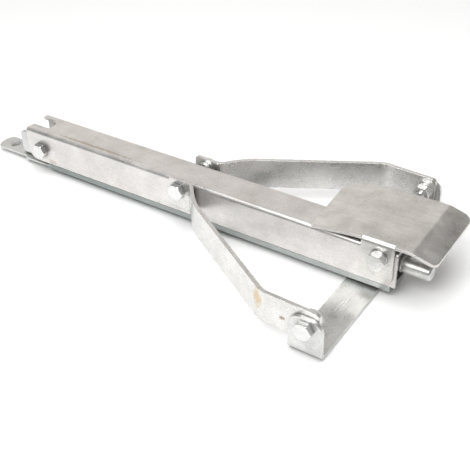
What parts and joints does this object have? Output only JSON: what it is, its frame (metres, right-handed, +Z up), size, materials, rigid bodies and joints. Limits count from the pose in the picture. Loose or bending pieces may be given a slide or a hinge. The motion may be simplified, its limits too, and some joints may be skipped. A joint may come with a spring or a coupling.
{
  "type": "gravity gate latch",
  "caption": "Steel gravity gate latch: hinged channel lever over a base tray with a striker bar, a two-armed drop yoke with a cross strap, and a rocking pedal plate.",
  "frame": {"origin": "centre of the fixing hole in the tongue, on the underside of the base", "axes": "+X along the latch towards the striker end, +Y across it towards the wide side of the pedal, +Z up out of the base"},
  "size_m": [0.586, 0.2802, 0.064],
  "materials": {
    "lever_zinc": "hot-dip galvanised, satin",
    "base_zinc": "hot-dip galvanised, satin",
    "arm_zinc": "hot-dip galvanised, satin",
    "strap_zinc": "hot-dip galvanised, satin",
    "pedal_zinc": "hot-dip galvanised, satin",
    "bar_zinc": "hot-dip galvanised, satin",
    "fastener_zinc": "bright zinc plated"
  },
  "bodies": {
    "base": {"base_tray": "base_zinc", "hinge_bracket": "base_zinc", "bracket_rivets": "fastener_zinc", "striker_bar": "bar_zinc", "rear_bar_block": "base_zinc", "front_bar_block": "base_zinc", "block_screws": "fastener_zinc", "hinge_bolt": "fastener_zinc", "hinge_nut": "fastener_zinc", "hinge_nut_washer": "fastener_zinc", "near_hinge_collar": "fastener_zinc", "far_hinge_collar": "fastener_zinc"},
    "lever": {"lever_channel": "lever_zinc", "yoke_bolt": "fastener_zinc", "yoke_nut": "fastener_zinc", "yoke_nut_washer": "fastener_zinc", "far_arm_spacer": "fastener_zinc", "pedal_bolt": "fastener_zinc", "pedal_nut": "fastener_zinc", "pedal_nut_washer": "fastener_zinc", "pedal_head_washer": "fastener_zinc"},
    "yoke": {"near_arm": "arm_zinc", "far_arm": "arm_zinc", "near_ear_bolt": "fastener_zinc", "near_ear_nut": "fastener_zinc", "near_ear_washer": "fastener_zinc", "far_ear_bolt": "fastener_zinc", "far_ear_nut": "fastener_zinc", "far_ear_washer": "fastener_zinc"},
    "strap": {"cross_strap": "strap_zinc"},
    "pedal": {"pedal_plate": "pedal_zinc", "pedal_far_ear": "pedal_zinc"}
  },
  "joints": [
    {"name": "lever_hinge", "type": "hinge", "parent": "base", "child": "lever", "pos_m": [0.068, 0, 0.025], "axis": [0, -1, 0], "range_deg": [0, 36]},
    {"name": "yoke_pivot", "type": "hinge", "parent": "lever", "child": "yoke", "pos_m": [0.274, 0, 0.0395], "axis": [0, -1, 0], "range_deg": [-90, 0]},
    {"name": "strap_rock", "type": "hinge", "parent": "yoke", "child": "strap", "pos_m": [0.492, 0, 0.0285], "axis": [0, -1, 0], "range_deg": [0, 54]},
    {"name": "pedal_rock", "type": "hinge", "parent": "lever", "child": "pedal", "pos_m": [0.509, 0, 0.0405], "axis": [0, -1, 0], "range_deg": [-14, 0]}
  ],
  "couplings": [
    {"joint": "yoke_pivot", "follows": "lever_hinge", "ratio": -2.5},
    {"joint": "strap_rock", "follows": "lever_hinge", "ratio": 1.5}
  ]
}
